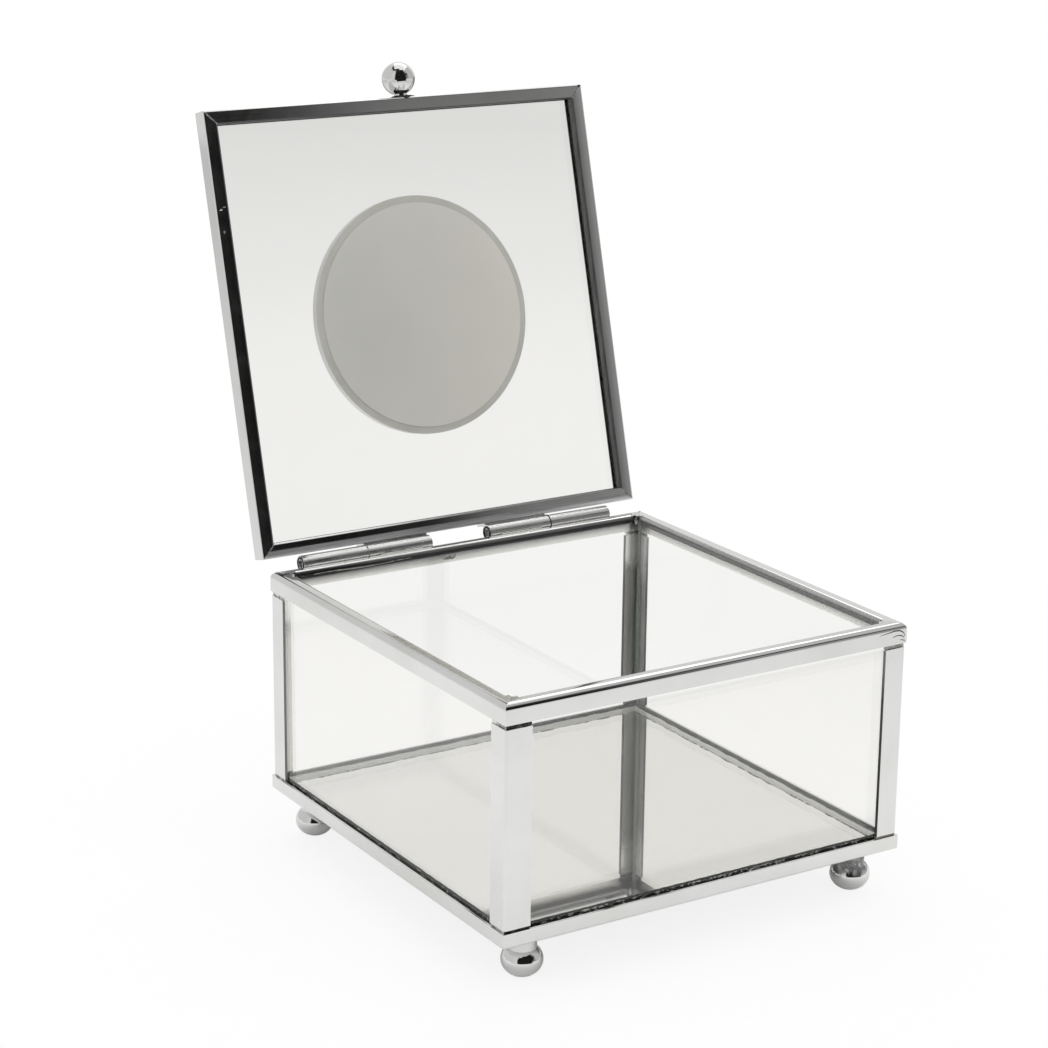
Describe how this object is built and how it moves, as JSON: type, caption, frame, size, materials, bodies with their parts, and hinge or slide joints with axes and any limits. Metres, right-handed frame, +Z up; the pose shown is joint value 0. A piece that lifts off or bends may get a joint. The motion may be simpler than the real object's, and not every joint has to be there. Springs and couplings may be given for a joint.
{
  "type": "glass casket box",
  "caption": "Square glass trinket casket in bright metal strip, with a mirror floor, ball feet and a hinged glass lid with a round medallion and a ball knob.",
  "frame": {"origin": "under the middle of the open box's bounding box, on the surface that the feet stand on", "axes": "+X to the right of the box, -Y out of its front, +Y behind its hinges, +Z up"},
  "size_m": [0.0904, 0.123, 0.1513],
  "materials": {
    "plated_rail": "bright silver plate on folded strip, slightly wavy, solder marks at the mitres",
    "plated_post": "bright silver plate on folded strip, faint vertical drawing lines",
    "plated_ball": "mirror-bright silver plate on turned metal",
    "lid_rail": "bright silver plate on folded strip, darker where it mirrors the room",
    "hinge_metal": "drawn tube with fine lengthwise lines and dull solder",
    "wall_glass": "clear float glass, grey-green at its cut edges",
    "lid_glass": "clear float glass",
    "floor_mirror": "silvered float glass, chipped grey-green cut edges, painted back",
    "medallion_metal": "satin grey disc with a bright turned rim",
    "adhesive_pad": "mottled grey adhesive seen through the glass"
  },
  "bodies": {
    "casket": {"top_rail_front": "plated_rail", "top_rail_back": "plated_rail", "top_rail_left": "plated_rail", "top_rail_right": "plated_rail", "corner_post_front_left": "plated_post", "corner_post_front_right": "plated_post", "corner_post_back_left": "plated_post", "corner_post_back_right": "plated_post", "base_rail_front": "plated_rail", "base_rail_back": "plated_rail", "base_rail_left": "plated_rail", "base_rail_right": "plated_rail", "glass_front": "wall_glass", "glass_back": "wall_glass", "glass_left": "wall_glass", "glass_right": "wall_glass", "mirror_floor": "floor_mirror", "foot_front_left": "plated_ball", "foot_front_right": "plated_ball", "foot_back_left": "plated_ball", "foot_back_right": "plated_ball", "hinge_left_box_leaf": "hinge_metal", "hinge_right_box_leaf": "hinge_metal", "hinge_left_pin": "hinge_metal", "hinge_right_pin": "hinge_metal"},
    "lid": {"hinge_left_lid_leaf": "hinge_metal", "hinge_right_lid_leaf": "hinge_metal", "lid_rail_front": "lid_rail", "lid_rail_back": "lid_rail", "lid_rail_left": "lid_rail", "lid_rail_right": "lid_rail", "lid_glass": "lid_glass", "medallion": "medallion_metal", "medallion_pad": "adhesive_pad", "lid_knob": "plated_ball"}
  },
  "joints": [
    {"name": "lid_hinge", "type": "hinge", "parent": "casket", "child": "lid", "pos_m": [0, 0.03068, 0.0553], "axis": [1, 0, 0], "range_deg": [0, 105]}
  ]
}
